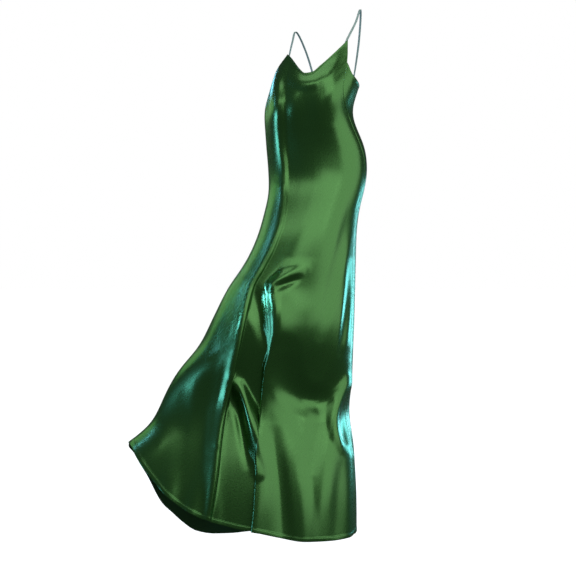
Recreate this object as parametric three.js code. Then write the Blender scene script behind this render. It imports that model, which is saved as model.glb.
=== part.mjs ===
import * as THREE from 'three';

// Slip dress as it is worn, with nobody in it. Millimetres, +Z up.
// The front and the back are two curved walls that meet at side seams, and two narrow straps hold them.
// The tables measure the dress across (x), down from the shoulders, and in depth, as it is seen from
// its front left. place() turns those measures into points, and the group then turns the dress to face -Y.

// Driving sizes

const wall = 1.4;
const seamGap = 0.3;
const turn = THREE.MathUtils.degToRad(25);
const viewDistance = 3200;
const middleAcross = -111;
const middleDown = 734;
const panelRows = 48;
const frontColumns = { sideStrip: 12, middleStrip: 10, wideStrip: 22, armhole: 4 };
const backColumns = 34;
const strap = { width: 6, thickness: 1.6, seat: 12, clear: 0.9, sides: 8, steps: 34 };
const cloth = { color: 0x3f6f38, roughness: 0.38, metalness: 0.2 };

// Sections of the worn dress. left and right are its outline, the depths are those of its two sides,
// near and far are how far the cloth stands out between them, and the last two say how square a side is.

const sectionColumns = [
  'down', 'left', 'right', 'leftDepth', 'rightDepth', 'near', 'far', 'leftSquare', 'rightSquare',
];
const sections = [
  [25, -102, 120, 31, -23, 82, 88, 2.0, 2.0],
  [47, -104, 117, 27, -27, 86, 92, 2.0, 2.0],
  [91, -116, 109, 23, -31, 94, 96, 2.0, 2.0],
  [124, -135, 100, 20, -35, 102, 98, 2.0, 2.0],
  [151, -144, 92, 18, -38, 110, 100, 2.0, 2.0],
  [182, -155, 85, 16, -40, 116, 102, 2.0, 2.0],
  [217, -168, 72, 16, -40, 116, 102, 2.0, 2.0],
  [253, -176, 65, 17, -37, 108, 100, 2.0, 2.0],
  [300, -173, 80, 21, -29, 98, 98, 2.0, 2.1],
  [355, -169, 102, 25, -21, 92, 100, 2.0, 2.1],
  [410, -164, 107, 25, -15, 92, 106, 2.0, 2.2],
  [465, -162, 99, 19, -11, 100, 110, 2.0, 2.2],
  [520, -173, 85, 7, -11, 110, 110, 2.0, 2.3],
  [588, -192, 78, -11, -9, 118, 108, 2.0, 2.3],
  [663, -226, 76, -18, -7, 124, 104, 2.0, 2.4],
  [734, -275, 74, -24, -5, 128, 102, 2.0, 2.5],
  [822, -318, 72, -30, -3, 138, 102, 2.0, 2.6],
  [891, -352, 69, -32, -1, 132, 106, 2.0, 2.7],
  [954, -407, 67, -30, 1, 117, 112, 2.0, 2.8],
  [1020, -446, 63, -26, 3, 103, 118, 2.0, 2.9],
  [1048, -458, 58, -24, 3, 101, 120, 2.0, 2.9],
  [1075, -470, 58, -21, 3, 105, 122, 2.0, 3.0],
  [1114, -494, 62, -16, 3, 116, 126, 2.0, 3.0],
  [1152, -543, 69, -10, 2, 128, 130, 2.0, 3.0],
  [1207, -609, 73, -2, 1, 144, 134, 2.0, 3.0],
  [1317, -711, 78, 12, -1, 168, 140, 2.0, 3.0],
  [1441, -821, 79, 26, -3, 186, 146, 2.0, 3.0],
];
// The bends of the sections are evened out over this far up and down, as far as the lowest point.
const softening = 50;
const lowest = 1460;

// Lines down the dress, as points of down and x

const longFold = curveThrough([
  [25, -103], [91, -109], [162, -125], [217, -122], [272, -120], [341, -117], [410, -111],
  [492, -111], [553, -120], [630, -147], [679, -172], [734, -202], [825, -224], [938, -249],
  [998, -263], [1097, -285], [1152, -293], [1248, -304], [1350, -320], [1441, -334],
]);
const kneeFold = curveThrough([
  [25, -45], [143, -62], [272, -62], [410, -70], [547, -84], [663, -120], [740, -164], [800, -160],
  [850, -158], [900, -164], [960, -180], [1042, -187], [1141, -194], [1331, -205], [1441, -216],
]);
const leftSeam = curveThrough([
  [25, 76], [47, 69], [91, 58], [113, 52], [157, 45], [182, 41], [209, 42], [242, 49], [267, 58],
  [300, 71], [341, 88], [377, 98], [415, 100], [459, 96], [514, 82], [588, 74], [663, 72],
  [767, 70], [891, 66], [987, 62], [1048, 55], [1075, 55], [1152, 65], [1262, 72], [1441, 74],
]);
// How far the hidden seam lies past the left outline, as down and degrees
const rightSeam = curveThrough([[25, 4], [91, 5], [217, 14], [492, 14], [767, 12], [1152, 6], [1441, 6]]);

// Edges, as points of x and down

const neckline = curveThrough([
  [-109, 91], [-95, 110], [-78, 132], [-65, 142], [-45, 139], [-23, 122], [12, 91], [59, 46], [90, 16],
]);
const frontHem = curveThrough([
  [-549, 1158], [-527, 1202], [-505, 1235], [-477, 1270], [-450, 1302], [-408, 1336], [-353, 1367],
  [-271, 1392], [-213, 1405], [-133, 1422], [-65, 1433], [4, 1430], [59, 1420], [80, 1402],
]);
const backHem = curveThrough([
  [-549, 1158], [-505, 1234], [-455, 1326], [-430, 1350], [-397, 1380], [-364, 1401],
  [-318, 1409], [-271, 1408], [-213, 1402], [-78, 1392], [32, 1392], [70, 1410], [80, 1402],
]);
// Top edge of the back, as degrees round from the right end and down
const backEdge = curveThrough([
  [185, 187], [228, 196], [255, 196], [271, 186], [286, 204], [300, 213], [315, 204], [330, 183],
  [344, 185], [357, 181], [398, 148], [416, 113],
]);
const frontArmhole = { leftPoint: 47, leftSeam: 113, rightPoint: 91, rightSeam: 187, bow: 1.3 };

// Folds. A lap is where one stretch of cloth hangs over the next, and front is the side on top.
// All its sizes change down the dress: how wide its shoulder is, how far it rises and overlaps, and its roll.

const laps = [
  {
    line: longFold,
    front: -1,
    spread: 70,
    reach: curveThrough([[91, 9], [1441, 9]]),
    rise: curveThrough([
      [91, 0], [125, 1], [176, 7], [410, 9], [553, 12], [734, 18], [938, 24], [1097, 20], [1441, 9],
    ]),
    overlap: curveThrough([[91, 0], [410, 2], [553, 5], [734, 8], [938, 9], [1152, 6], [1441, 1]]),
    roll: curveThrough([[91, 1], [250, 2], [553, 4], [734, 7], [1097, 7], [1441, 1]]),
  },
  {
    line: kneeFold,
    front: 1,
    spread: 60,
    reach: curveThrough([[650, 16], [760, 22], [900, 20], [1020, 11], [1441, 9]]),
    rise: curveThrough([[650, 0], [730, 13], [800, 18], [900, 15], [1042, 17], [1226, 23], [1441, 21]]),
    overlap: curveThrough([[700, 0], [840, 3], [1042, 7], [1226, 9], [1441, 7]]),
    roll: curveThrough([[700, 0], [800, 4], [900, 4], [1042, 2], [1441, 2]]),
  },
];

// The other folds are soft ridges and troughs along a curve from start by way of bend to end, in x and down.
// rise gives the height at the start, the middle and the end, and wide is half the fold's width.

const folds = [
  // name, start, bend, end, rise, wide
  ['chest crest', [-120, 80], [-162, 215], [-128, 430], [8, 7, 2], 15],
  ['cowl', [-103, 150], [-50, 214], [45, 95], [1, 5, 1], 15],
  ['bust crest', [7, 140], [12, 204], [10, 278], [2, 4, 1], 22],
  ['bust hollow', [-62, 195], [-59, 239], [-62, 294], [-2, -5, -2], 24],
  ['hook rim', [-62, 682], [-111, 690], [-155, 726], [1, 7, 8], 13],
  ['hook pit', [-196, 740], [-196, 810], [-184, 880], [-2, -9, -2], 12],
  ['fan', [-256, 985], [-214, 1060], [-194, 1240], [4, 18, 5], 17],
  ['left hollow', [-227, 707], [-271, 800], [-301, 910], [-2, -5, -2], 24],
  ['left crest', [-309, 784], [-345, 891], [-359, 1037], [1, 4, 2], 28],
  ['left trough', [-326, 1001], [-345, 1152], [-364, 1331], [-2, -5, -3], 26],
  ['left band', [-302, 1066], [-320, 1180], [-315, 1394], [1, 6, 5], 20],
  ['swing trough', [-392, 1042], [-419, 1180], [-430, 1257], [-1, -3, -1], 30],
  ['swing crest', [-403, 1125], [-430, 1221], [-444, 1326], [0, 4, 7], 22],
  ['hem crest', [-334, 1194], [-359, 1290], [-381, 1364], [0, 5, 8], 20],
  ['thigh crease', [70, 478], [26, 663], [-23, 866], [-1, -5, -1], 14],
  ['knee hollow', [-122, 910], [-117, 1042], [-29, 1048], [-6, -12, -10], 34],
  ['side hollow', [-29, 1040], [20, 1020], [56, 930], [-8, -9, -4], 26],
  ['edge fold', [66, 984], [-22, 1085], [40, 1174], [5, 13, 3], 14],
  ['shin trough', [-155, 1111], [-142, 1235], [-122, 1419], [-1, -7, -5], 22],
  ['shin crest', [-166, 1020], [-100, 1111], [-67, 1419], [1, 5, 5], 28],
  ['shin gully', [-18, 1053], [-34, 1152], [-54, 1248], [-1, -6, -1], 23],
  ['calf crest', [12, 1152], [-7, 1262], [-18, 1419], [1, 5, 5], 24],
  ['calf gully', [37, 1207], [34, 1304], [29, 1414], [-1, -5, -3], 21],
  ['knee crest', [-262, 938], [-285, 1056], [-302, 1160], [1, 5, 2], 13],
  ['edge fold bowl', [68, 1040], [46, 1110], [66, 1165], [-8, -17, -6], 20],
];
const foldSteps = 8;

// Long soft folds of the back, in degrees round from the right end. They grow from where they start to the hem.

const backFolds = [
  { at: 204, wide: 9, from: 700, rise: 12 },
  { at: 226, wide: 10, from: 560, rise: 14 },
  { at: 249, wide: 9, from: 820, rise: 12 },
  { at: 272, wide: 11, from: 640, rise: 16 },
  { at: 297, wide: 10, from: 760, rise: 12 },
  { at: 321, wide: 9, from: 600, rise: 13 },
  { at: 342, wide: 7, from: 860, rise: 8 },
];

// Curves and sections

// A smooth curve through points whose first numbers rise. It never overshoots a point.
function curveThrough(points) {
  const steps = points.slice(1).map((point, i) => (point[1] - points[i][1]) / (point[0] - points[i][0]));
  const slopes = points.map((_, i) => {
    if (i === 0) return steps[0];
    if (i === points.length - 1) return steps[i - 1];
    const before = steps[i - 1];
    const after = steps[i];
    return before * after > 0 ? (2 * before * after) / (before + after) : 0;
  });
  return (at) => {
    const held = THREE.MathUtils.clamp(at, points[0][0], points[points.length - 1][0]);
    let i = 0;
    while (i < points.length - 2 && held > points[i + 1][0]) i += 1;
    const span = points[i + 1][0] - points[i][0];
    const t = (held - points[i][0]) / span;
    const t2 = t * t;
    const t3 = t2 * t;
    return (
      (2 * t3 - 3 * t2 + 1) * points[i][1]
      + (t3 - 2 * t2 + t) * span * slopes[i]
      + (3 * t2 - 2 * t3) * points[i + 1][1]
      + (t3 - t2) * span * slopes[i + 1]
    );
  };
}

// A column of the sections at any down, evened out and then read from one value a millimetre
function softened(column) {
  const curve = curveThrough(sections.map((row) => [row[0], row[column]]));
  const sharp = [];
  for (let down = -softening; down <= lowest + softening; down += 1) {
    if (down < 0) sharp.push(2 * curve(0) - curve(-down));
    else if (down > lowest) sharp.push(2 * curve(lowest) - curve(2 * lowest - down));
    else sharp.push(curve(down));
  }
  const soft = [];
  for (let down = 0; down <= lowest; down += 1) {
    let sum = 0;
    for (let i = 0; i <= 2 * softening; i += 1) {
      sum += sharp[down + i] * (1 - Math.cos((Math.PI * i) / softening));
    }
    soft.push(sum / (2 * softening));
  }
  return (down) => {
    const i = Math.min(Math.floor(down), lowest - 1);
    return THREE.MathUtils.lerp(soft[i], soft[i + 1], down - i);
  };
}

const sectionCurves = {};
for (let column = 1; column < sectionColumns.length; column += 1) {
  sectionCurves[sectionColumns[column]] = softened(column);
}

function sectionAt(down) {
  const section = {};
  for (const [name, curve] of Object.entries(sectionCurves)) section[name] = curve(down);
  section.middle = (section.left + section.right) / 2;
  section.half = (section.right - section.left) / 2;
  return section;
}

// The angle round a section, 0 at its right end and 90 degrees nearest the viewer, where x is reached.
function nearAngle(x, section) {
  return Math.acos(THREE.MathUtils.clamp((x - section.middle) / section.half, -1, 1));
}

function ringPoint(angle, section) {
  const c = Math.cos(angle);
  const s = Math.sin(angle);
  const square = c < 0 ? section.leftSquare : section.rightSquare;
  const reach = (1 - Math.abs(c) ** square) ** (1 / square);
  const sides = (section.leftDepth * (1 - c) + section.rightDepth * (1 + c)) / 2;
  const depth = sides + (s >= 0 ? -section.near : section.far) * reach;
  return new THREE.Vector2(section.middle + section.half * c, depth);
}

// Outward direction of a section, level with it
function ringOutward(angle, section) {
  const step = 0.02;
  const before = ringPoint(angle - step, section);
  const after = ringPoint(angle + step, section);
  return new THREE.Vector2(before.y - after.y, after.x - before.x).normalize();
}

// Depth and height come from the measures as they are seen, so what is nearer is really smaller.
function place(x, depth, down) {
  const scale = 1 + depth / viewDistance;
  return new THREE.Vector3(
    middleAcross + (x - middleAcross) * scale,
    depth,
    -(middleDown + (down - middleDown) * scale),
  );
}

// Folds

function bezier(a, b, c, t) {
  return a * (1 - t) ** 2 + 2 * b * t * (1 - t) + c * t * t;
}

function between(values, t) {
  return values[0] * (1 - t) * (1 - 2 * t) + values[1] * 4 * t * (1 - t) + values[2] * t * (2 * t - 1);
}

const foldPaths = folds.map(([, start, bend, end, rise, wide]) => {
  const path = [];
  for (let i = 0; i <= foldSteps; i += 1) {
    const t = i / foldSteps;
    path.push({
      x: bezier(start[0], bend[0], end[0], t),
      down: bezier(start[1], bend[1], end[1], t),
      rise: between(rise, t),
    });
  }
  return { path, wide };
});

function foldRise(x, down) {
  let total = 0;
  for (const { path, wide } of foldPaths) {
    let nearest = Infinity;
    let rise = 0;
    for (let i = 0; i < foldSteps; i += 1) {
      const from = path[i];
      const to = path[i + 1];
      const stepX = to.x - from.x;
      const stepDown = to.down - from.down;
      const along = ((x - from.x) * stepX + (down - from.down) * stepDown) / (stepX ** 2 + stepDown ** 2);
      const t = THREE.MathUtils.clamp(along, 0, 1);
      const distance = Math.hypot(x - from.x - t * stepX, down - from.down - t * stepDown);
      if (distance < nearest) {
        nearest = distance;
        rise = THREE.MathUtils.lerp(from.rise, to.rise, t);
      }
    }
    const share = nearest / (wide * 1.7);
    if (share < 1) total += rise * (1 - share * share) ** 2;
  }
  return total;
}

// How far a lap moves a point out and along. Its shoulder is steepest over the lap's line.
function lapShift(lap, x, down) {
  const offset = x - lap.line(down);
  const q = offset / lap.reach(down);
  const step = 0.5 * (1 + lap.front * Math.tanh(1.6 * q));
  const fade = Math.exp(-((offset / lap.spread) ** 2));
  const rolled = lap.roll(down) * Math.exp(-((q * lap.front - 1.3) ** 2));
  return {
    out: lap.rise(down) * step * fade + rolled,
    along: -lap.overlap(down) * q * Math.exp((1 - q * q) / 2),
  };
}

// The cloth's outer face, all round the dress
function clothPoint(angle, down) {
  const section = sectionAt(down);
  const base = ringPoint(angle, section);
  const outward = ringOutward(angle, section);
  const facing = Math.max(0, Math.sin(angle)) ** 0.35;
  let out = foldRise(base.x, down) * facing;
  let along = 0;
  for (const lap of laps) {
    const shift = lapShift(lap, base.x, down);
    out += shift.out * facing;
    along += shift.along * facing;
  }
  for (const fold of backFolds) {
    const offset = (THREE.MathUtils.radToDeg(angle) - fold.at) / fold.wide;
    const growth = THREE.MathUtils.smoothstep(down, fold.from, 1400);
    out += fold.rise * growth * Math.exp(-offset * offset);
  }
  base.addScaledVector(outward, out);
  base.x += along;
  return place(base.x, base.y, down);
}

// A point of the outer face, the direction round the dress there, and the direction into the wall
function clothFrame(angle, down) {
  const turnStep = 0.005;
  const downStep = 1;
  const round = clothPoint(angle + turnStep, down).sub(clothPoint(angle - turnStep, down)).normalize();
  const along = clothPoint(angle, down + downStep).sub(clothPoint(angle, down - downStep)).normalize();
  const inward = along.clone().cross(round).normalize();
  return { point: clothPoint(angle, down), round, inward };
}

// Panels

function rightSeamAngle(down) {
  return Math.PI + THREE.MathUtils.degToRad(rightSeam(down));
}

// The strips of the front run from the right seam to the long fold, the knee fold and the left seam.
function frontAngle(strip, share, down) {
  const section = sectionAt(down);
  const lines = [
    rightSeamAngle(down),
    nearAngle(longFold(down), section),
    nearAngle(kneeFold(down), section),
    nearAngle(leftSeam(down), section),
  ];
  return THREE.MathUtils.lerp(lines[strip], lines[strip + 1], share);
}

function backAngle(share, down) {
  const section = sectionAt(down);
  const last = 2 * Math.PI + nearAngle(leftSeam(down), section);
  return THREE.MathUtils.lerp(rightSeamAngle(down), last, share);
}

// The down at which a column, given by its angle at each down, crosses an edge.
function crossing(columnAngle, edgeAt, low, high) {
  let above = low;
  let below = high;
  for (let i = 0; i < 40; i += 1) {
    const down = (above + below) / 2;
    const angle = columnAngle(down);
    const edge = edgeAt(ringPoint(angle, sectionAt(down)).x, angle);
    if (down < edge) above = down;
    else below = down;
  }
  return (above + below) / 2;
}

const armholeShare = 0.86;

function frontColumnList() {
  const columns = [];
  const { sideStrip, middleStrip, wideStrip, armhole } = frontColumns;
  for (let i = 0; i < sideStrip; i += 1) {
    columns.push({ strip: 0, share: Math.sin((Math.PI / 2) * (i / sideStrip)) });
  }
  for (let i = 0; i < middleStrip; i += 1) {
    columns.push({ strip: 1, share: 0.5 - 0.5 * Math.cos(Math.PI * (i / middleStrip)) });
  }
  for (let i = 0; i < wideStrip; i += 1) {
    columns.push({ strip: 2, share: armholeShare * (i / wideStrip) ** 1.4 });
  }
  for (let i = 0; i <= armhole; i += 1) {
    columns.push({ strip: 2, share: THREE.MathUtils.lerp(armholeShare, 1, i / armhole) });
  }
  return columns;
}

function frontTop({ strip, share }) {
  const angleAt = (down) => frontAngle(strip, share, down);
  if (strip === 0) {
    const drop = frontArmhole.rightSeam - frontArmhole.rightPoint;
    return frontArmhole.rightPoint + drop * (1 - share) ** frontArmhole.bow;
  }
  if (strip === 2 && share > armholeShare) {
    const past = (share - armholeShare) / (1 - armholeShare);
    return THREE.MathUtils.lerp(frontArmhole.leftPoint, frontArmhole.leftSeam, past);
  }
  return crossing(angleAt, neckline, 26, 180);
}

// A column of the wall from its top edge to the hem. shift moves it round the dress, to leave the seam's gap.
function columnOf(top, hem, angleAt, shift) {
  const outer = [];
  const inner = [];
  for (let row = 0; row <= panelRows; row += 1) {
    const down = THREE.MathUtils.lerp(top, hem, row / panelRows);
    const { point, round, inward } = clothFrame(angleAt(down), down);
    point.addScaledVector(round, shift);
    outer.push(point);
    inner.push(point.clone().addScaledVector(inward, wall));
  }
  return { outer, inner };
}

function frontWall() {
  const columns = frontColumnList();
  return columns.map((column, i) => {
    const angleAt = (down) => frontAngle(column.strip, column.share, down);
    const hem = crossing(angleAt, frontHem, 1000, 1441);
    let shift = 0;
    if (i === 0) shift = -seamGap / 2;
    if (i === columns.length - 1) shift = seamGap / 2;
    return columnOf(frontTop(column), hem, angleAt, shift);
  });
}

function backWall() {
  const columns = [];
  for (let i = 0; i <= backColumns; i += 1) {
    const share = i / backColumns;
    const angleAt = (down) => backAngle(share, down);
    const edgeAt = (x, angle) => backEdge(THREE.MathUtils.radToDeg(angle));
    if (i === 0) {
      const hem = crossing(angleAt, frontHem, 1000, 1441);
      columns.push(columnOf(frontArmhole.rightSeam, hem, angleAt, seamGap / 2));
    } else if (i === backColumns) {
      const hem = crossing(angleAt, frontHem, 1000, 1441);
      columns.push(columnOf(frontArmhole.leftSeam, hem, angleAt, -seamGap / 2));
    } else {
      const hem = crossing(angleAt, backHem, 1000, 1441);
      columns.push(columnOf(crossing(angleAt, edgeAt, 60, 240), hem, angleAt, 0));
    }
  }
  return columns.reverse();
}

// A closed wall from columns of outer and inner points
function wallGeometry(wallColumns) {
  const corners = [];
  const indices = [];
  const rows = panelRows + 1;
  const columns = wallColumns.length;
  for (const side of ['outer', 'inner']) {
    for (const column of wallColumns) {
      for (const point of column[side]) corners.push(point.x, point.y, point.z);
    }
  }
  const innerStart = rows * columns;
  const index = (side, column, row) => side * innerStart + column * rows + row;
  const face = (a, b, c, d) => indices.push(a, b, c, a, c, d);
  for (let i = 0; i < columns - 1; i += 1) {
    for (let row = 0; row < rows - 1; row += 1) {
      face(index(0, i, row), index(0, i, row + 1), index(0, i + 1, row + 1), index(0, i + 1, row));
      face(index(1, i, row), index(1, i + 1, row), index(1, i + 1, row + 1), index(1, i, row + 1));
    }
    face(index(0, i, 0), index(0, i + 1, 0), index(1, i + 1, 0), index(1, i, 0));
    face(index(0, i, rows - 1), index(1, i, rows - 1), index(1, i + 1, rows - 1), index(0, i + 1, rows - 1));
  }
  for (let row = 0; row < rows - 1; row += 1) {
    const end = columns - 1;
    face(index(0, 0, row), index(1, 0, row), index(1, 0, row + 1), index(0, 0, row + 1));
    face(index(0, end, row), index(0, end, row + 1), index(1, end, row + 1), index(1, end, row));
  }
  const geometry = new THREE.BufferGeometry();
  geometry.setAttribute('position', new THREE.Float32BufferAttribute(corners, 3));
  geometry.setIndex(indices);
  geometry.computeVertexNormals();
  return geometry;
}

// Straps

const strapRoutes = {
  left: {
    strip: 2, share: 0.84, frontDown: 55, backDegrees: 330,
    rise: [74, -74, 6], top: [88, -40, -31], fall: [84, -4, 55],
  },
  right: {
    strip: 1, share: 0.05, frontDown: 99, backDegrees: 271,
    rise: [-99, 8, 58], top: [-89, 40, 30], fall: [-58, 76, 95],
  },
};

// Where a strap lies inside a panel: under the panel's edge, clear of its inner face
function seatPoints(angleAt, edgeDown) {
  const depthInside = wall + strap.clear + strap.thickness / 2;
  return [strap.seat, 0].map((below) => {
    const down = edgeDown + below;
    const { point, inward } = clothFrame(angleAt(down), down);
    return point.addScaledVector(inward, depthInside);
  });
}

// A strap's middle line, and the directions of its width at the front, over the shoulder and at the back
function strapLine(side) {
  const { strip, share, frontDown, backDegrees, rise, top, fall } = strapRoutes[side];
  const frontAngleAt = (down) => frontAngle(strip, share, down);
  const backAngleAt = () => THREE.MathUtils.degToRad(backDegrees);
  const backDown = backEdge(backDegrees) + 2;
  const frontSeat = seatPoints(frontAngleAt, frontDown);
  const backSeat = seatPoints(backAngleAt, backDown).reverse();
  const over = [rise, top, fall].map(([x, depth, down]) => place(x, depth, down));
  return {
    curve: new THREE.CatmullRomCurve3([...frontSeat, ...over, ...backSeat], false, 'centripetal'),
    widths: [
      clothFrame(frontAngleAt(frontDown), frontDown).round.negate(),
      new THREE.Vector3(Math.cos(turn), -Math.sin(turn), 0),
      clothFrame(backAngleAt(), backDown).round,
    ],
  };
}

// A flat band with rounded edges along a curve
function bandGeometry({ curve, widths }) {
  const corners = [];
  const indices = [];
  for (let i = 0; i <= strap.steps; i += 1) {
    const share = i / strap.steps;
    const centre = curve.getPointAt(share);
    const tangent = curve.getTangentAt(share);
    const half = share < 0.5 ? 0 : 1;
    const blend = THREE.MathUtils.smoothstep(share * 2 - half, 0.1 + 0.2 * half, 0.7 + 0.2 * half);
    const across = widths[half].clone().lerp(widths[half + 1], blend);
    across.addScaledVector(tangent, -across.dot(tangent)).normalize();
    const outward = across.clone().cross(tangent);
    for (let k = 0; k < strap.sides; k += 1) {
      const angle = (2 * Math.PI * (k + 0.5)) / strap.sides;
      const corner = centre.clone();
      corner.addScaledVector(across, roundedBox(Math.cos(angle)) * (strap.width / 2));
      corner.addScaledVector(outward, roundedBox(Math.sin(angle)) * (strap.thickness / 2));
      corners.push(corner.x, corner.y, corner.z);
    }
  }
  const index = (step, k) => step * strap.sides + (k % strap.sides);
  for (let i = 0; i < strap.steps; i += 1) {
    for (let k = 0; k < strap.sides; k += 1) {
      indices.push(index(i, k), index(i + 1, k + 1), index(i, k + 1));
      indices.push(index(i, k), index(i + 1, k), index(i + 1, k + 1));
    }
  }
  for (let k = 1; k < strap.sides - 1; k += 1) {
    indices.push(index(0, 0), index(0, k), index(0, k + 1));
    indices.push(index(strap.steps, 0), index(strap.steps, k + 1), index(strap.steps, k));
  }
  const geometry = new THREE.BufferGeometry();
  geometry.setAttribute('position', new THREE.Float32BufferAttribute(corners, 3));
  geometry.setIndex(indices);
  geometry.computeVertexNormals();
  return geometry;
}

function roundedBox(share) {
  return Math.sign(share) * Math.min(1, Math.abs(share) * 1.08);
}

// Dress

function addPiece(group, name, geometry) {
  const mesh = new THREE.Mesh(geometry, new THREE.MeshStandardMaterial(cloth));
  mesh.name = name;
  group.add(mesh);
}

const dress = new THREE.Group();
addPiece(dress, 'front_panel', wallGeometry(frontWall()));
addPiece(dress, 'back_panel', wallGeometry(backWall()));
addPiece(dress, 'left_strap', bandGeometry(strapLine('left')));
addPiece(dress, 'right_strap', bandGeometry(strapLine('right')));
dress.rotation.z = turn;

export default dress;
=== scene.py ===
import math

import bpy
import numpy as np
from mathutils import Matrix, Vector


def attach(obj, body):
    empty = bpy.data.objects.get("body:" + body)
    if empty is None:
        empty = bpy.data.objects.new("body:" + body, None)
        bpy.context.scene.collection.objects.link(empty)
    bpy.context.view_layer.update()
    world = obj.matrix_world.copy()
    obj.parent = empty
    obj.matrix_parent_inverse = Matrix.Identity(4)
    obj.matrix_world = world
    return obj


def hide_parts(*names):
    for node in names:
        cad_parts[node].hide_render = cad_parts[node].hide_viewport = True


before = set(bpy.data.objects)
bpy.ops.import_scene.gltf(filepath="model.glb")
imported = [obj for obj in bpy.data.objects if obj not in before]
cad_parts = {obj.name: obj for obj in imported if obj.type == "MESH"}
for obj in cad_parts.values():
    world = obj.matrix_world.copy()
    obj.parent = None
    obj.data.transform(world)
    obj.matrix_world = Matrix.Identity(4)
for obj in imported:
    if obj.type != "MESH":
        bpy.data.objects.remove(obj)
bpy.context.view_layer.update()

# Slip dress in green satin, worn and hollow. Tables are in millimetres, as in the part's source: x across,
# down from the shoulders, and depth away from the viewer, as the dress is seen from its front left.

# The viewer is level with the middle of the dress and sees the frame's width there. The dress is turned
# from the viewer by TURN, and CLOTH is how thick its walls are.

MM = 0.001
TURN = math.radians(25)
VIEW_DISTANCE = 3200
MIDDLE_ACROSS = -111
MIDDLE_DOWN = 734
FRAME_WIDTH = 1584
SENSOR_WIDTH = 36
SEAM_GAP = 0.3
CLOTH = 0.9

# Columns of each strip of the front, from the right seam to the armhole's end, and of the back
STRIP_COLUMNS = dict(side=44, middle=34, wide=80, armhole=14)
BACK_COLUMNS = 140
# How much closer the columns are beside the seams: a power at the front, a share at the back
FRONT_CROWDING = 1.4
BACK_CROWDING = 0.8
ROWS = 210

# Turned and stitched edges: rows of points at these distances from the edge, the width of the turning,
# how far in its stitches are, and which of the rows they follow
EDGE = dict(rows=(0, 0.6, 1.4, 2.8, 4.3, 5, 5.7, 6.6, 8.5), width=6.2, stitch=5, stitch_row=5)
HEM = dict(rows=(0, 0.6, 1.6, 4.5, 8.5, 10.3, 11, 11.7, 12.8, 15), width=12.2, stitch=11, stitch_row=6)
# A turning stands out this far, steps down between these distances past its width, and has a rounded rim
TURNING_RISE = 0.5
TURNING_STEP = (-0.5, 0.4)
RIM = 0.6
# The groove that the stitches pull in, as a share of that rise, and the crease along each side seam
GROOVE = dict(depth=0.9, width=0.6)
SEAM_CREASE = dict(depth=0.8, width=3)
# tip is the share of a stitch's half length where its pointed ends begin
STITCH = dict(length=2.3, pitch=3.1, radius=0.24, sides=6, tip=0.7)

# Straps, at the size of the part's own. edge and face are powers that round the section, and a crease
# runs along the middle of each face.
STRAP = dict(width=6, thickness=1.6, seat=12, clear=0.9, wall=1.4, steps=150, sides=20)
# How far below the back's edge a strap ends, and the steps of its curve between two points
STRAP_BELOW_EDGE = 2
STRAP_CURVE_STEPS = 60
STRAP_SECTION = dict(edge=0.6, face=0.8, crease_depth=0.25, crease_width=0.5)
STRAPS = {
    "left": dict(
        strip=2, share=0.84, front_down=55, back_degrees=330,
        rise=(74, -74, 6), top=(88, -40, -31), fall=(84, -4, 55),
    ),
    "right": dict(
        strip=1, share=0.05, front_down=99, back_degrees=271,
        rise=(-99, 8, 58), top=(-89, 40, 30), fall=(-58, 76, 95),
    ),
}
# Between these shares of its way up, and then of its way down, a strap turns to lie flat
STRAP_TURNS = ((0.1, 0.7), (0.3, 0.9))


# Curves

def curve_through(points):
    """A smooth curve through points whose first numbers rise. It never overshoots a point."""
    at = np.array([p[0] for p in points], float)
    value = np.array([p[1] for p in points], float)
    span = np.diff(at)
    step = np.diff(value) / span
    slope = np.empty_like(value)
    slope[0] = step[0]
    slope[-1] = step[-1]
    rising = step[:-1] * step[1:] > 0
    total = np.where(rising, step[:-1] + step[1:], 1)
    slope[1:-1] = np.where(rising, 2 * step[:-1] * step[1:] / total, 0)

    def curve(x):
        x = np.clip(x, at[0], at[-1])
        i = np.clip(np.searchsorted(at, x, side="right") - 1, 0, len(span) - 1)
        t = (x - at[i]) / span[i]
        t2 = t * t
        t3 = t2 * t
        return (
            (2 * t3 - 3 * t2 + 1) * value[i]
            + (t3 - 2 * t2 + t) * span[i] * slope[i]
            + (3 * t2 - 2 * t3) * value[i + 1]
            + (t3 - t2) * span[i] * slope[i + 1]
        )

    return curve


# Sections of the worn dress. left and right are its outline, the depths are those of its two sides,
# near and far are how far the cloth stands out between them, and the last two say how square a side is.

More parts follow.
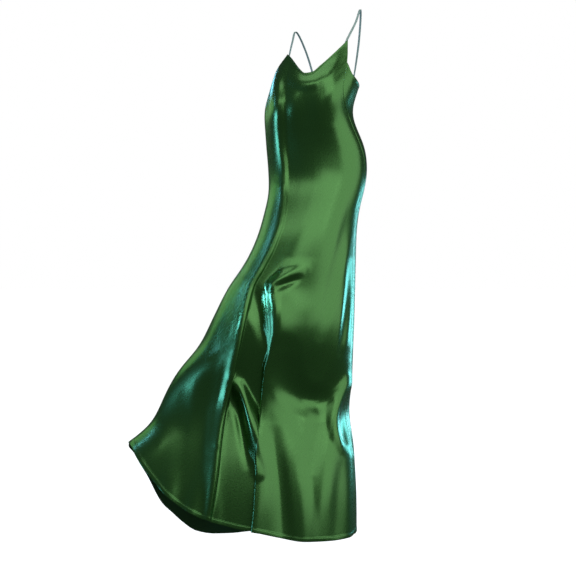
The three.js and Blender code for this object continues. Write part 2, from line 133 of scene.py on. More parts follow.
SECTION_COLUMNS = (
    "down", "left", "right", "left_depth", "right_depth", "near", "far", "left_square", "right_square",
)
SECTIONS = (
    (25, -102, 120, 31, -23, 82, 88, 2.0, 2.0),
    (47, -104, 117, 27, -27, 86, 92, 2.0, 2.0),
    (91, -116, 109, 23, -31, 94, 96, 2.0, 2.0),
    (124, -135, 100, 20, -35, 102, 98, 2.0, 2.0),
    (151, -144, 92, 18, -38, 110, 100, 2.0, 2.0),
    (182, -155, 85, 16, -40, 116, 102, 2.0, 2.0),
    (217, -168, 72, 16, -40, 116, 102, 2.0, 2.0),
    (253, -176, 65, 17, -37, 108, 100, 2.0, 2.0),
    (300, -173, 80, 21, -29, 98, 98, 2.0, 2.1),
    (355, -169, 102, 25, -21, 92, 100, 2.0, 2.1),
    (410, -164, 107, 25, -15, 92, 106, 2.0, 2.2),
    (465, -162, 99, 19, -11, 100, 110, 2.0, 2.2),
    (520, -173, 85, 7, -11, 110, 110, 2.0, 2.3),
    (588, -192, 78, -11, -9, 118, 108, 2.0, 2.3),
    (663, -226, 76, -18, -7, 124, 104, 2.0, 2.4),
    (734, -275, 74, -24, -5, 128, 102, 2.0, 2.5),
    (822, -318, 72, -30, -3, 138, 102, 2.0, 2.6),
    (891, -352, 69, -32, -1, 132, 106, 2.0, 2.7),
    (954, -407, 67, -30, 1, 117, 112, 2.0, 2.8),
    (1020, -446, 63, -26, 3, 103, 118, 2.0, 2.9),
    (1048, -458, 58, -24, 3, 101, 120, 2.0, 2.9),
    (1075, -470, 58, -21, 3, 105, 122, 2.0, 3.0),
    (1114, -494, 62, -16, 3, 116, 126, 2.0, 3.0),
    (1152, -543, 69, -10, 2, 128, 130, 2.0, 3.0),
    (1207, -609, 73, -2, 1, 144, 134, 2.0, 3.0),
    (1317, -711, 78, 12, -1, 168, 140, 2.0, 3.0),
    (1441, -821, 79, 26, -3, 186, 146, 2.0, 3.0),
)
# The bends of the sections are evened out over this far up and down, as far as the lowest point
SOFTENING = 50
LOWEST = 1460
SECTION_DOWNS = np.arange(LOWEST + 1)


def softened(name):
    """A column of the table for each millimetre down, with its bends evened out"""
    column = SECTION_COLUMNS.index(name)
    values = curve_through([(row[0], row[column]) for row in SECTIONS])(SECTION_DOWNS)
    first = 2 * values[0] - values[SOFTENING:0:-1]
    last = 2 * values[-1] - values[-2:-SOFTENING - 2:-1]
    weights = np.hanning(2 * SOFTENING + 1)
    return np.convolve(np.concatenate([first, values, last]), weights / weights.sum(), "valid")


SECTION_VALUES = {name: softened(name) for name in SECTION_COLUMNS[1:]}

# Lines down the dress, as points of down and x

LONG_FOLD = curve_through([
    (25, -103), (91, -109), (162, -125), (217, -122), (272, -120), (341, -117), (410, -111),
    (492, -111), (553, -120), (630, -147), (679, -172), (734, -202), (825, -224), (938, -249),
    (998, -263), (1097, -285), (1152, -293), (1248, -304), (1350, -320), (1441, -334),
])
KNEE_FOLD = curve_through([
    (25, -45), (143, -62), (272, -62), (410, -70), (547, -84), (663, -120), (740, -164), (800, -160),
    (850, -158), (900, -164), (960, -180), (1042, -187), (1141, -194), (1331, -205), (1441, -216),
])
LEFT_SEAM = curve_through([
    (25, 76), (47, 69), (91, 58), (113, 52), (157, 45), (182, 41), (209, 42), (242, 49), (267, 58),
    (300, 71), (341, 88), (377, 98), (415, 100), (459, 96), (514, 82), (588, 74), (663, 72),
    (767, 70), (891, 66), (987, 62), (1048, 55), (1075, 55), (1152, 65), (1262, 72), (1441, 74),
])
# How far the hidden seam lies past the left outline, as down and degrees
RIGHT_SEAM = curve_through([(25, 4), (91, 5), (217, 14), (492, 14), (767, 12), (1152, 6), (1441, 6)])

# Edges, as points of x and down

NECKLINE = curve_through([
    (-109, 91), (-95, 110), (-78, 132), (-65, 142), (-45, 139), (-23, 122), (12, 91), (59, 46), (90, 16),
])
FRONT_HEM = curve_through([
    (-549, 1158), (-527, 1202), (-505, 1235), (-477, 1270), (-450, 1302), (-408, 1336), (-353, 1367),
    (-271, 1392), (-213, 1405), (-133, 1422), (-65, 1433), (4, 1430), (59, 1420), (80, 1402),
])
BACK_HEM = curve_through([
    (-549, 1158), (-505, 1234), (-455, 1326), (-430, 1350), (-397, 1380), (-364, 1401),
    (-318, 1409), (-271, 1408), (-213, 1402), (-78, 1392), (32, 1392), (70, 1410), (80, 1402),
])
# Top edge of the back, as degrees round from the right end and down
BACK_EDGE = curve_through([
    (185, 187), (228, 196), (255, 196), (271, 186), (286, 204), (300, 213), (315, 204), (330, 183),
    (344, 185), (357, 181), (398, 148), (416, 113),
])
# How far down the strap points and the seam tops are, and how the armholes run between them
LEFT_POINT = 47
LEFT_SEAM_TOP = 113
RIGHT_POINT = 91
RIGHT_SEAM_TOP = 187
ARMHOLE_BOW = 1.3
ARMHOLE_SHARE = 0.86

# How far down each kind of edge is looked for, in this many halvings
NECK_SEARCH = (26, 180)
BACK_SEARCH = (60, 240)
HEM_SEARCH = (1000, 1441)
HALVINGS = 34

# Laps, where one stretch of cloth hangs over the next. front is the side on top, and spread is how far
# the lap fades out. Its reach, rise, overlap and rolled edge are curves of how far down they are.

LAPS = (
    dict(
        line=LONG_FOLD, front=-1, spread=70,
        reach=curve_through([(91, 9), (1441, 9)]),
        rise=curve_through([
            (91, 0), (125, 1), (176, 7), (410, 9), (553, 12), (734, 18), (938, 24), (1097, 20), (1441, 9),
        ]),
        overlap=curve_through([(91, 0), (410, 2), (553, 5), (734, 8), (938, 9), (1152, 6), (1441, 1)]),
        roll=curve_through([(91, 1), (250, 2), (553, 4), (734, 7), (1097, 7), (1441, 1)]),
    ),
    dict(
        line=KNEE_FOLD, front=1, spread=60,
        reach=curve_through([(650, 16), (760, 22), (900, 20), (1020, 11), (1441, 9)]),
        rise=curve_through([(650, 0), (730, 13), (800, 18), (900, 15), (1042, 17), (1226, 23), (1441, 21)]),
        overlap=curve_through([(700, 0), (840, 3), (1042, 7), (1226, 9), (1441, 7)]),
        roll=curve_through([(700, 0), (800, 4), (900, 4), (1042, 2), (1441, 2)]),
    ),
)

# How sharply a lap steps, how far out its rolled edge lies, and how fast folds fade towards the sides
LAP_SHARPNESS = 1.6
ROLL_PLACE = 1.3
SIDE_FADE = 0.35

# Soft ridges and troughs: start, bend and end as x and down, the rise at each, and how wide

FOLDS = (
    ("chest crest", (-120, 80), (-162, 215), (-128, 430), (8, 7, 2), 15),
    ("cowl", (-103, 150), (-50, 214), (45, 95), (1, 5, 1), 15),
    ("bust crest", (7, 140), (12, 204), (10, 278), (2, 4, 1), 22),
    ("bust hollow", (-62, 195), (-59, 239), (-62, 294), (-2, -5, -2), 24),
    ("hook rim", (-62, 682), (-111, 690), (-155, 726), (1, 7, 8), 13),
    ("hook pit", (-196, 740), (-196, 810), (-184, 880), (-2, -9, -2), 12),
    ("fan", (-256, 985), (-214, 1060), (-194, 1240), (4, 18, 5), 17),
    ("left hollow", (-227, 707), (-271, 800), (-301, 910), (-2, -5, -2), 24),
    ("left crest", (-309, 784), (-345, 891), (-359, 1037), (1, 4, 2), 28),
    ("left trough", (-326, 1001), (-345, 1152), (-364, 1331), (-2, -5, -3), 26),
    ("left band", (-302, 1066), (-320, 1180), (-315, 1394), (1, 6, 5), 20),
    ("swing trough", (-392, 1042), (-419, 1180), (-430, 1257), (-1, -3, -1), 30),
    ("swing crest", (-403, 1125), (-430, 1221), (-444, 1326), (0, 4, 7), 22),
    ("hem crest", (-334, 1194), (-359, 1290), (-381, 1364), (0, 5, 8), 20),
    ("thigh crease", (70, 478), (26, 663), (-23, 866), (-1, -5, -1), 14),
    ("knee hollow", (-122, 910), (-117, 1042), (-29, 1048), (-6, -12, -10), 34),
    ("side hollow", (-29, 1040), (20, 1020), (56, 930), (-8, -9, -4), 26),
    ("edge fold", (66, 984), (-22, 1085), (40, 1174), (5, 13, 3), 14),
    ("shin trough", (-155, 1111), (-142, 1235), (-122, 1419), (-1, -7, -5), 22),
    ("shin crest", (-166, 1020), (-100, 1111), (-67, 1419), (1, 5, 5), 28),
    ("shin gully", (-18, 1053), (-34, 1152), (-54, 1248), (-1, -6, -1), 23),
    ("calf crest", (12, 1152), (-7, 1262), (-18, 1419), (1, 5, 5), 24),
    ("calf gully", (37, 1207), (34, 1304), (29, 1414), (-1, -5, -3), 21),
)

# Finer folds, in the same columns, which only the render shows

FINE_FOLDS = (
    ("hook shade", (-136, 729), (-109, 720), (-81, 704), (-4, -7, -1), 9),
    ("fan outer", (-252, 985), (-212, 1066), (-190, 1251), (3, 14, 4), 12),
    ("fan flank", (-266, 1010), (-240, 1085), (-226, 1220), (-1, -7, -1), 11),
    ("knee crest", (-262, 938), (-285, 1056), (-302, 1160), (1, 5, 2), 13),
    ("side crease", (62, 663), (54, 795), (32, 916), (-1, -5, -1), 8),
    ("edge fold bowl", (68, 1040), (46, 1110), (66, 1165), (-8, -17, -6), 20),
)
FOLD_STEPS = 16
FOLD_REACH = 1.7

# Small uneven wrinkles all round: cells round the dress, the length of each, how far they rise, and a seed.
# They grow on the way down, from a share of that rise.

WRINKLES = ((16, 300, 1.5, 7), (30, 170, 0.7, 19))
WRINKLE_LENGTH = 1500
WRINKLE_SHARE = 0.3
WRINKLE_GROWTH = (350, 1050)

# Long soft folds of the back: degrees round, half width, where each starts, and its rise at the hem

BACK_FOLDS = (
    (204, 9, 700, 12), (226, 10, 560, 14), (249, 9, 820, 12), (272, 11, 640, 16), (297, 10, 760, 12),
    (321, 9, 600, 13), (342, 7, 860, 8),
)
BACK_FOLDS_END = 1400


# The cloth's surface

def section_at(down):
    """Every value of the section at each height, with its middle and half width"""
    section = {name: np.interp(down, SECTION_DOWNS, values) for name, values in SECTION_VALUES.items()}
    section["middle"] = (section["left"] + section["right"]) / 2
    section["half"] = (section["right"] - section["left"]) / 2
    return section


def near_angle(x, section):
    """How far round a point of the near side is, counted from the right end"""
    return np.arccos(np.clip((x - section["middle"]) / section["half"], -1, 1))


def ring_point(angle, section):
    """x and depth of the plain section at each angle, before folds"""
    c = np.cos(angle)
    s = np.sin(angle)
    square = np.where(c < 0, section["left_square"], section["right_square"])
    reach = (1 - np.minimum(np.abs(c), 1) ** square) ** (1 / square)
    sides = (section["left_depth"] * (1 - c) + section["right_depth"] * (1 + c)) / 2
    depth = sides + np.where(s >= 0, -section["near"], section["far"]) * reach
    return np.stack([section["middle"] + section["half"] * c, depth], -1)


def ring_outward(angle, section):
    step = 0.02
    before = ring_point(angle - step, section)
    after = ring_point(angle + step, section)
    outward = np.stack([before[..., 1] - after[..., 1], after[..., 0] - before[..., 0]], -1)
    return outward / np.linalg.norm(outward, axis=-1, keepdims=True)


def turned(across, depth):
    """From the viewer's two level axes to the dress's own x and y, so that the dress faces -Y"""
    c = math.cos(TURN)
    s = math.sin(TURN)
    return across * c - depth * s, across * s + depth * c


def place(x, depth, down):
    """What is nearer is really smaller than it looks"""
    scale = 1 + depth / VIEW_DISTANCE
    across = MIDDLE_ACROSS + (x - MIDDLE_ACROSS) * scale
    height = -(MIDDLE_DOWN + (down - MIDDLE_DOWN) * scale)
    return np.stack([*turned(across, depth), height], -1) * MM


def smoothstep(x, low, high):
    t = np.clip((x - low) / (high - low), 0, 1)
    return t * t * (3 - 2 * t)


def bezier(a, b, c, t):
    return a * (1 - t) ** 2 + 2 * b * t * (1 - t) + c * t * t


def through(values, t):
    """A curve through three values at 0, a half and 1"""
    a, b, c = values
    return a * (1 - t) * (1 - 2 * t) + b * 4 * t * (1 - t) + c * t * (2 * t - 1)


def fold_rise(x, down):
    """What all the folds add at each point. A fold is worked out only where it reaches."""
    total = np.zeros_like(x)
    t = np.linspace(0, 1, FOLD_STEPS + 1)
    for _, start, bend, end, rise, wide in FOLDS + FINE_FOLDS:
        path = np.stack([bezier(start[0], bend[0], end[0], t), bezier(start[1], bend[1], end[1], t)], -1)
        path_rise = through(rise, t)
        reach = wide * FOLD_REACH
        low = path.min(0) - reach
        high = path.max(0) + reach
        inside = (x > low[0]) & (x < high[0]) & (down > low[1]) & (down < high[1])
        if not inside.any():
            continue
        point = np.stack([x[inside], down[inside]], -1)
        nearest = np.full(len(point), np.inf)
        here = np.zeros(len(point))
        for i in range(FOLD_STEPS):
            step = path[i + 1] - path[i]
            share = np.clip((point - path[i]) @ step / (step @ step), 0, 1)
            distance = np.linalg.norm(point - path[i] - share[:, None] * step, axis=-1)
            closer = distance < nearest
            nearest = np.where(closer, distance, nearest)
            here = np.where(closer, path_rise[i] + share * (path_rise[i + 1] - path_rise[i]), here)
        near = np.minimum(nearest / reach, 1)
        total[inside] += here * (1 - near**2) ** 2
    return total


def wrinkle_field(cells, length, rise, seed):
    """Smooth random heights that meet again after one turn of the dress"""
    rows = int(WRINKLE_LENGTH / length) + 3
    heights = np.random.default_rng(seed).uniform(-1, 1, (rows, cells))

    def field(angle, down):
        u = np.mod(angle / (2 * math.pi), 1) * cells
        v = np.clip(down / length, 0, len(heights) - 2)
        i = np.floor(u).astype(int) % cells
        j = np.floor(v).astype(int)
        s = smoothstep(u - np.floor(u), 0, 1)
        t = smoothstep(v - j, 0, 1)
        upper = heights[j, i] * (1 - s) + heights[j, (i + 1) % cells] * s
        lower = heights[j + 1, i] * (1 - s) + heights[j + 1, (i + 1) % cells] * s
        growth = WRINKLE_SHARE + (1 - WRINKLE_SHARE) * smoothstep(down, *WRINKLE_GROWTH)
        return rise * (upper * (1 - t) + lower * t) * growth

    return field


WRINKLE_FIELDS = [wrinkle_field(*row) for row in WRINKLES]


def cloth_point(angle, down):
    """Points of the cloth's outer face in metres, with every fold, lap and wrinkle"""
    section = section_at(down)
    base = ring_point(angle, section)
    outward = ring_outward(angle, section)
    facing = np.maximum(0, np.sin(angle)) ** SIDE_FADE
    x = base[..., 0]
    out = fold_rise(x, down) * facing
    along = np.zeros_like(x)
    for lap in LAPS:
        offset = x - lap["line"](down)
        q = offset / lap["reach"](down)
        step = 0.5 * (1 + lap["front"] * np.tanh(LAP_SHARPNESS * q))
        fade = np.exp(-((offset / lap["spread"]) ** 2))
        rolled = lap["roll"](down) * np.exp(-((q * lap["front"] - ROLL_PLACE) ** 2))
        out += (lap["rise"](down) * step * fade + rolled) * facing
        along -= lap["overlap"](down) * q * np.exp((1 - q * q) / 2) * facing
    for at, wide, start, rise in BACK_FOLDS:
        offset = (np.degrees(angle) - at) / wide
        out += rise * smoothstep(down, start, BACK_FOLDS_END) * np.exp(-offset * offset)
    for field in WRINKLE_FIELDS:
        out += field(angle, down)
    point = base + outward * out[..., None]
    return place(point[..., 0] + along, point[..., 1], down)


def cloth_frame(angle, down):
    """Points of the outer face, the direction round the dress, and the direction into the wall"""
    turn_step = 0.003
    down_step = 0.6
    round_ = cloth_point(angle + turn_step, down) - cloth_point(angle - turn_step, down)
    along = cloth_point(angle, down + down_step) - cloth_point(angle, down - down_step)
    round_ /= np.linalg.norm(round_, axis=-1, keepdims=True)
    inward = np.cross(along, round_)
    inward /= np.linalg.norm(inward, axis=-1, keepdims=True)
    return cloth_point(angle, down), round_, inward


def right_seam_angle(down):
    return math.pi + np.radians(RIGHT_SEAM(down))


def front_angle(strip, share, down):
    """The strips of the front run from the right seam to the long fold, the knee fold and the left seam"""
    section = section_at(down)
    lines = (
        right_seam_angle(down),
        near_angle(LONG_FOLD(down), section),
        near_angle(KNEE_FOLD(down), section),
        near_angle(LEFT_SEAM(down), section),
    )
    return lines[strip] + (lines[strip + 1] - lines[strip]) * share


def back_angle(share, down):
    last = 2 * math.pi + near_angle(LEFT_SEAM(down), section_at(down))
    first = right_seam_angle(down)
    return first + (last - first) * share


def crossing(angle_at, edge_at, search):
    """How far down a column meets an edge, which is given as a function of x and angle"""
    above, below = search
    for _ in range(HALVINGS):
        down = (above + below) / 2
        angle = angle_at(down)
        if down < edge_at(ring_point(angle, section_at(down))[..., 0], angle):
            above = down
        else:
            below = down
    return (above + below) / 2


# Panels as grids: columns from the top edge to the hem

def front_columns():
    """The strip that each column lies in, and its share of the way across the strip"""
    side, middle, wide, armhole = STRIP_COLUMNS.values()
    columns = [(0, math.sin(math.pi / 2 * i / side)) for i in range(side)]
    columns += [(1, 0.5 - 0.5 * math.cos(math.pi * i / middle)) for i in range(middle)]
    columns += [(2, ARMHOLE_SHARE * (i / wide) ** FRONT_CROWDING) for i in range(wide)]
    for i in range(armhole + 1):
        past = 1 - (1 - i / armhole) ** FRONT_CROWDING
        columns.append((2, ARMHOLE_SHARE + (1 - ARMHOLE_SHARE) * past))
    return columns


def front_top(strip, share, angle_at):
    if strip == 0:
        return RIGHT_POINT + (RIGHT_SEAM_TOP - RIGHT_POINT) * (1 - share) ** ARMHOLE_BOW
    if strip == 2 and share > ARMHOLE_SHARE:
        past = (share - ARMHOLE_SHARE) / (1 - ARMHOLE_SHARE)
        return LEFT_POINT + (LEFT_SEAM_TOP - LEFT_POINT) * past
    return crossing(angle_at, lambda x, angle: NECKLINE(x), NECK_SEARCH)


def column_downs(top, hem):
    edge_rows = EDGE["rows"]
    hem_rows = HEM["rows"]
    middle = np.linspace(top + edge_rows[-1], hem - hem_rows[-1], ROWS)
    return np.concatenate([top + np.array(edge_rows[:-1]), middle, hem - np.array(hem_rows[-2::-1])])


def front_measures():
    angles = []
    downs = []
    for strip, share in front_columns():
        def angle_at(down, strip=strip, share=share):
            return front_angle(strip, share, down)

        hem = crossing(angle_at, lambda x, angle: FRONT_HEM(x), HEM_SEARCH)
        down = column_downs(front_top(strip, share, angle_at), hem)
        angles.append(angle_at(down))
        downs.append(down)
    return np.array(angles), np.array(downs)


def back_measures():
    angles = []
    downs = []
    for i in range(BACK_COLUMNS + 1):
        t = i / BACK_COLUMNS
        share = t - BACK_CROWDING * math.sin(2 * math.pi * t) / (2 * math.pi)

        def angle_at(down, share=share):
            return back_angle(share, down)

        hem_edge = FRONT_HEM if i in (0, BACK_COLUMNS) else BACK_HEM
        hem = crossing(angle_at, lambda x, angle, edge=hem_edge: edge(x), HEM_SEARCH)
        if i == 0:
            top = RIGHT_SEAM_TOP
        elif i == BACK_COLUMNS:
            top = LEFT_SEAM_TOP
        else:
            top = crossing(angle_at, lambda x, angle: BACK_EDGE(np.degrees(angle)), BACK_SEARCH)
        down = column_downs(top, hem)
        angles.append(angle_at(down))
        downs.append(down)
    return np.array(angles)[::-1], np.array(downs)[::-1]


def turning(distance, edge):
    """How far a turned edge stands out, with a rounded rim and a groove where the thread pulls it in"""
    thick = 1 - smoothstep(distance - edge["width"], *TURNING_STEP)
    rim = np.exp(-((distance / RIM) ** 2))
    groove = GROOVE["depth"] * np.exp(-(((distance - edge["stitch"]) / GROOVE["width"]) ** 2))
    return TURNING_RISE * (thick - rim - groove)


def panel_grid(angles, downs):
    """Outer and inner points and the outward directions, with turned edges and a crease along each seam"""
    outer, round_, inward = cloth_frame(angles, downs)
    for column, shift in ((0, -1), (-1, 1)):
        outer[column] += round_[column] * shift * SEAM_GAP / 2 * MM
    from_left = np.cumsum(np.linalg.norm(np.diff(outer, axis=0, prepend=outer[:1]), axis=-1), 0) / MM
    from_seam = np.minimum(from_left, from_left[-1] - from_left)
    crease = SEAM_CREASE["depth"] * np.exp(-((from_seam / SEAM_CREASE["width"]) ** 2))
    outer = outer + inward * (crease * MM)[..., None]
    inner = outer + inward * CLOTH * MM
    rise = turning(downs - downs[:, :1], EDGE) + turning(downs[:, -1:] - downs, HEM)
    return outer - inward * rise[..., None] * MM, inner, -inward


def new_piece(name, vertices, faces, materials):
    mesh = bpy.data.meshes.new(name)
    mesh.from_pydata(np.asarray(vertices).tolist(), [], faces)
    mesh.polygons.foreach_set("use_smooth", [True] * len(mesh.polygons))
    for material in materials:
        mesh.materials.append(material)
    piece = bpy.data.objects.new(name, mesh)
    bpy.context.scene.collection.objects.link(piece)
    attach(piece, "root")
    return piece


def add_uv(piece, uv):
    """UVs in metres of cloth, given for each vertex"""
    mesh = piece.data
    corner = np.empty(len(mesh.loops), int)
    mesh.loops.foreach_get("vertex_index", corner)
    mesh.uv_layers.new(name="cloth").data.foreach_set("uv", uv[corner].ravel())


def panel_piece(name, outer, inner, materials):
    """A thin closed shell. The face that lies against the body has the second material."""
    columns, rows = outer.shape[:2]
    number = np.arange(columns * rows).reshape(columns, rows)
    half = columns * rows
    corners = (number[:-1, :-1], number[:-1, 1:], number[1:, 1:], number[1:, :-1])
    outside = np.stack(corners, -1).reshape(-1, 4)
    faces = [outside]
    for edge in (number[::-1, 0], number[:, -1], number[0, :], number[-1, ::-1]):
        faces.append(np.stack([edge[:-1], edge[:-1] + half, edge[1:] + half, edge[1:]], -1))
    shown = sum(len(group) for group in faces)
    faces.append(outside[:, ::-1] + half)
    vertices = np.concatenate([outer.reshape(-1, 3), inner.reshape(-1, 3)])
    piece = new_piece(name, vertices, np.concatenate(faces).tolist(), materials)
    reverse = np.arange(shown + len(outside)) >= shown
    piece.data.polygons.foreach_set("material_index", reverse.astype(int))
    across = np.cumsum(np.linalg.norm(np.diff(outer, axis=0, prepend=outer[:1]), axis=-1).mean(1))
    down = np.cumsum(np.linalg.norm(np.diff(outer, axis=1, prepend=outer[:, :1]), axis=-1), 1)
    uv = np.stack([np.repeat(across[:, None], rows, 1), -down], -1).reshape(-1, 2)
    add_uv(piece, np.concatenate([uv, uv]))
    return piece


# Stitches, each a small length of thread with pointed ends

def stitch(centre, forward, out, first):
    """Vertices and faces of one stitch, whose vertices are numbered from first"""
    half = STITCH["length"] * MM / 2
    radius = STITCH["radius"] * MM
    sides = STITCH["sides"]
    side = np.cross(forward, out)
    side /= np.linalg.norm(side)
    vertices = [centre - forward * half]
    for share in (-STITCH["tip"], STITCH["tip"]):
        for k in range(sides):
            turn = 2 * math.pi * k / sides
            ring = side * math.cos(turn) + out * math.sin(turn)
            vertices.append(centre + forward * half * share + ring * radius)
    vertices.append(centre + forward * half)
    near = first + 1
    far = near + sides
    last = far + sides
    faces = []
    for k in range(sides):
        n = (k + 1) % sides
        faces.append((first, near + n, near + k))
        faces.append((near + k, near + n, far + n, far + k))
        faces.append((last, far + k, far + n))
    return vertices, faces


def stitches(name, outer, outward, row, material):
    """A row of stitches that lie on the cloth along one row of its points"""
    outward = outward[:, row]
    line = outer[:, row] + outward * STITCH["radius"] * MM
    along = np.concatenate([[0], np.cumsum(np.linalg.norm(np.diff(line, axis=0), axis=-1))])
    pitch = STITCH["pitch"] * MM
    half = STITCH["length"] * MM / 2

    def value_at(distance, values):
        return np.array([np.interp(distance, along, values[:, k]) for k in range(3)])

    vertices = []
    faces = []
    for i in range(int(along[-1] / pitch)):
        at = (i + 0.5) * pitch
        forward = value_at(at + half, line) - value_at(at - half, line)
        forward /= np.linalg.norm(forward)
        points, sides = stitch(value_at(at, line), forward, value_at(at, outward), len(vertices))
        vertices += points
        faces += sides
    return new_piece(name, vertices, faces, [material])


# Straps

def at_one(angle, down):
    """cloth_frame for a single place"""
    point, round_, inward = cloth_frame(np.array([angle]), np.array([down], float))
    return point[0], round_[0], inward[0]


def seat_points(angle_at, edge_down):
    """Where a strap lies inside a panel: under its edge, clear of its inner face"""
    inside = (STRAP["wall"] + STRAP["clear"] + STRAP["thickness"] / 2) * MM
    points = []
    for below in (STRAP["seat"], 0):
        down = edge_down + below
        point, _, inward = at_one(angle_at(down), down)
        points.append(point + inward * inside)
    return points


def catmull_rom(points, count):
    """A centripetal curve through points"""
    p = np.array(points)
    p = np.concatenate([[2 * p[0] - p[1]], p, [2 * p[-1] - p[-2]]])
    line = []
    for i in range(1, len(p) - 2):
        d0, d1, d2 = (np.linalg.norm(p[i + k + 1] - p[i + k]) ** 0.5 for k in (-1, 0, 1))
        leaving = (p[i] - p[i - 1]) / d0 - (p[i + 1] - p[i - 1]) / (d0 + d1) + (p[i + 1] - p[i]) / d1
        arriving = (p[i + 1] - p[i]) / d1 - (p[i + 2] - p[i]) / (d1 + d2) + (p[i + 2] - p[i + 1]) / d2
        t = np.linspace(0, 1, count, endpoint=False)[:, None]
        line.append(
            (2 * t**3 - 3 * t**2 + 1) * p[i]
            + (t**3 - 2 * t**2 + t) * leaving * d1
            + (3 * t**2 - 2 * t**3) * p[i + 1]
            + (t**3 - t**2) * arriving * d1
        )
    line.append(p[-2:-1])
    return np.concatenate(line)


def strap_line(side):
    """Points of a strap's middle, how far along each is, and the directions of its width and of its face"""
    row = STRAPS[side]

    def front_angle_at(down):
        return float(front_angle(row["strip"], row["share"], down))

    def back_angle_at(down):
        return math.radians(row["back_degrees"])

    back_down = float(BACK_EDGE(row["back_degrees"])) + STRAP_BELOW_EDGE
    over = [place(*(float(v) for v in row[name])) for name in ("rise", "top", "fall")]
    points = seat_points(front_angle_at, row["front_down"]) + over
    points += seat_points(back_angle_at, back_down)[::-1]
    fine = catmull_rom(points, STRAP_CURVE_STEPS)
    length = np.concatenate([[0], np.cumsum(np.linalg.norm(np.diff(fine, axis=0), axis=-1))])
    at = np.linspace(0, length[-1], STRAP["steps"] + 1)
    centre = np.stack([np.interp(at, length, fine[:, k]) for k in range(3)], -1)
    tangent = np.gradient(centre, axis=0)
    tangent /= np.linalg.norm(tangent, axis=-1, keepdims=True)
    front = -at_one(front_angle_at(row["front_down"]), row["front_down"])[1]
    top = np.array([1.0, 0, 0])
    back = at_one(back_angle_at(back_down), back_down)[1]
    share = at / length[-1]
    first = smoothstep(share * 2, *STRAP_TURNS[0])[:, None]
    second = smoothstep(share * 2 - 1, *STRAP_TURNS[1])[:, None]
    rising = front * (1 - first) + top * first
    falling = top * (1 - second) + back * second
    across = np.where(share[:, None] < 0.5, rising, falling)
    across -= tangent * (across * tangent).sum(-1, keepdims=True)
    across /= np.linalg.norm(across, axis=-1, keepdims=True)
    return centre, at, across, np.cross(across, tangent)


def strap_corner(turn):
    """How far a point of a strap's section lies along its width and its face"""
    c = math.cos(turn)
    s = math.sin(turn)
    wide = math.copysign(abs(c) ** STRAP_SECTION["edge"], c) * STRAP["width"] / 2
    thick = math.copysign(abs(s) ** STRAP_SECTION["face"], s) * STRAP["thickness"] / 2
    crease = math.exp(-((wide / STRAP_SECTION["crease_width"]) ** 2))
    return wide, thick * (1 - STRAP_SECTION["crease_depth"] * crease)


def strap_piece(side, material):
    """A flat rouleau: a folded band with rounded edges"""
    centre, at, across, outward = strap_line(side)
    sides = STRAP["sides"]
    section = [strap_corner(2 * math.pi * k / sides) for k in range(sides)]
    vertices = []
    uv = []
    for i in range(len(centre)):
        for wide, thick in section:
            vertices.append(centre[i] + (across[i] * wide + outward[i] * thick) * MM)
            uv.append((wide * MM, at[i]))
    faces = []
    for i in range(len(centre) - 1):
        for k in range(sides):
            n = (k + 1) % sides
            faces.append((i * sides + k, (i + 1) * sides + k, (i + 1) * sides + n, i * sides + n))
    last = (len(centre) - 1) * sides
    faces.append(tuple(range(sides)))
    faces.append(tuple(range(last + sides - 1, last - 1, -1)))
    piece = new_piece(f"{side}_strap_satin_painted_highlight", vertices, faces, [material])
    add_uv(piece, np.array(uv))
    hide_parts(f"{side}_strap")
    return piece


# Satin. Each mark has its cells per metre across and along it, its bump strength and its depth in metres.

THREADS = dict(cells=(3000, 500), strength=0.1, depth=0.00005)
PUCKERS = dict(cells=(26, 8), strength=0.25, depth=0.002)
SLUBS = (700, 60)
SLUB_COLOURS = (0.35, 0.65)
SLUB_ROUGHNESS = 0.015
BIAS = math.radians(45)
COAT_ROUGHNESS = 0.22
PLY = (1500, 1500)
# The part of a noise's values that nearly all of them lie in
NOISE_VALUES = (0.3, 0.7)


def noise(tree, source, scale, detail):
    stretch = tree.nodes.new("ShaderNodeMapping")
    stretch.inputs["Scale"].default_value = (*scale, 1)
    tree.links.new(source, stretch.inputs["Vector"])
    node = tree.nodes.new("ShaderNodeTexNoise")
    node.inputs["Scale"].default_value = 1
    node.inputs["Detail"].default_value = detail
    tree.links.new(stretch.outputs["Vector"], node.inputs["Vector"])
    return node.outputs["Fac"]


def spread(tree, value, low, high):
    """A noise's values, spread from low to high"""
    node = tree.nodes.new("ShaderNodeMapRange")
    node.inputs["From Min"].default_value = NOISE_VALUES[0]
    node.inputs["From Max"].default_value = NOISE_VALUES[1]
    node.inputs["To Min"].default_value = low
    node.inputs["To Max"].default_value = high
    tree.links.new(value, node.inputs["Value"])
    return node.outputs["Result"]


def two_colours(tree, deep, bright, factor):
    node = tree.nodes.new("ShaderNodeMix")
    node.data_type = "RGBA"
    node.inputs["A"].default_value = (*deep, 1)
    node.inputs["B"].default_value = (*bright, 1)
    tree.links.new(factor, node.inputs["Factor"])
    return node.outputs["Result"]


def bump(tree, height, mark, normal=None):
    node = tree.nodes.new("ShaderNodeBump")
    node.inputs["Strength"].default_value = mark["strength"]
    node.inputs["Distance"].default_value = mark["depth"]
    tree.links.new(height, node.inputs["Height"])
    if normal:
        tree.links.new(normal, node.inputs["Normal"])
    return node.outputs["Normal"]


